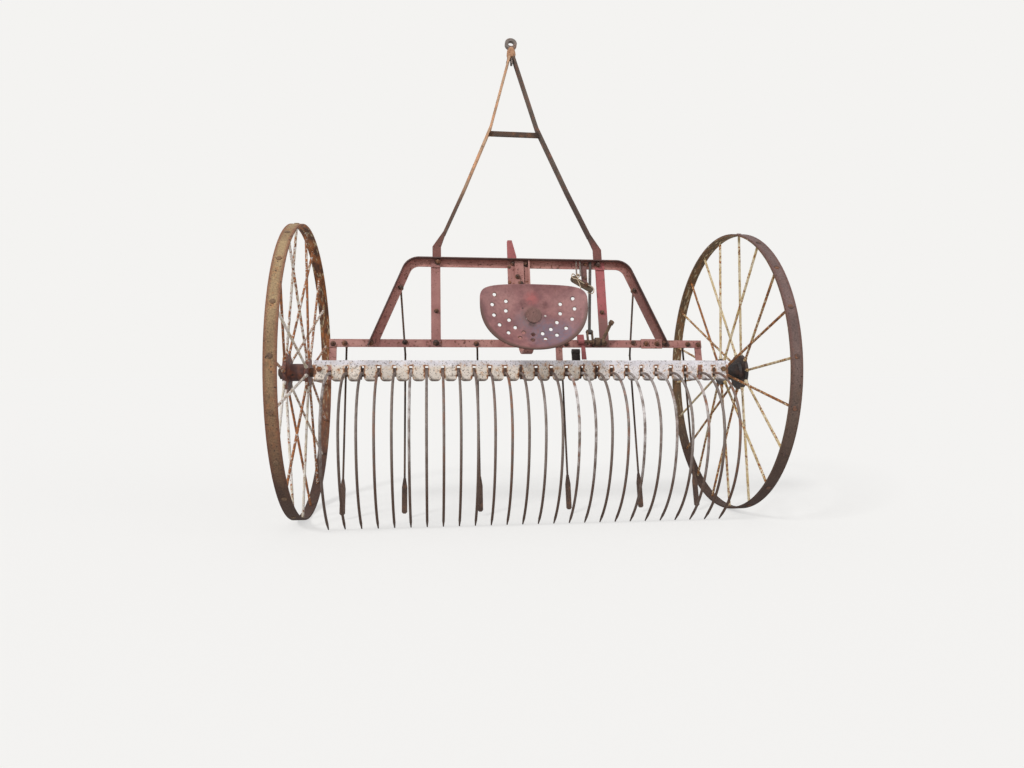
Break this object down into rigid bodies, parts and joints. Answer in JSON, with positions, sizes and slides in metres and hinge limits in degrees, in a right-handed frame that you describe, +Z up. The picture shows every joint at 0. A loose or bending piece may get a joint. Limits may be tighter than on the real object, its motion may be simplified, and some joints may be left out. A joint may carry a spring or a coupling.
{
  "type": "sulky dump rake",
  "caption": "Towed two-wheel hay rake with curved spring teeth on a comb, a dished driver's seat and a drawbar frame tipped up for parking",
  "frame": {"origin": "on the ground, directly below the middle of the axle", "axes": "+X along the axle to the right as it is towed, +Y the way it is towed, +Z up"},
  "size_m": [2.364, 1.4, 2.5894],
  "materials": {
    "dark_iron": "rough, rusted",
    "rusty_steel": "rough, rusted",
    "worn_steel": "worn",
    "tooth_steel": "rusted, worn on the outside",
    "hub_iron": "rough, greasy",
    "comb_paint": "matte, chipped",
    "spoke_paint": "matte, mostly worn off",
    "frame_paint": "matte, faded",
    "stay_paint": "matte, faded",
    "seat_paint": "matte, faded"
  },
  "bodies": {
    "rake_head": {"axle": "dark_iron", "axle_nuts": "dark_iron", "head_arms": "dark_iron", "tine_rod": "dark_iron", "comb": "comb_paint", "comb_bolts": "rusty_steel", "dump_arm": "dark_iron", "tines_left": "tooth_steel", "tines_right": "tooth_steel"},
    "wheel_left": {"wheel_left_tyre": "rusty_steel", "wheel_left_spokes": "spoke_paint", "wheel_left_hub": "hub_iron"},
    "wheel_right": {"wheel_right_tyre": "rusty_steel", "wheel_right_spokes": "spoke_paint", "wheel_right_hub": "hub_iron"},
    "drawbar_frame": {"cross_bar": "frame_paint", "hoop": "frame_paint", "stay_left": "stay_paint", "stay_right": "stay_paint", "bearing_left": "frame_paint", "bearing_middle": "frame_paint", "bearing_right": "frame_paint", "foot_plate": "frame_paint", "drawbar_leg_left": "rusty_steel", "drawbar_leg_right": "rusty_steel", "drawbar_brace": "rusty_steel", "drawbar_eye": "worn_steel", "seat": "seat_paint", "seat_spring": "frame_paint", "seat_plate": "frame_paint", "seat_boss": "seat_paint", "footrest_tongue": "stay_paint", "stripper_rods_left": "dark_iron", "stripper_rods_right": "dark_iron", "latch_plate": "frame_paint", "latch_lever": "rusty_steel", "latch_shackle": "worn_steel", "trip_rod": "dark_iron", "dump_lever": "stay_paint", "pedal_bracket": "dark_iron", "pedal": "dark_iron"}
  },
  "joints": [
    {"name": "wheel_left_spin", "type": "hinge", "parent": "rake_head", "child": "wheel_left", "pos_m": [-1.0925, 0, 0.7], "axis": [1, 0, 0], "continuous": true},
    {"name": "wheel_right_spin", "type": "hinge", "parent": "rake_head", "child": "wheel_right", "pos_m": [1.0925, 0, 0.7], "axis": [1, 0, 0], "continuous": true},
    {"name": "frame_tip", "type": "hinge", "parent": "rake_head", "child": "drawbar_frame", "pos_m": [0, 0, 0.7], "axis": [1, 0, 0], "range_deg": [-80, 0]}
  ]
}
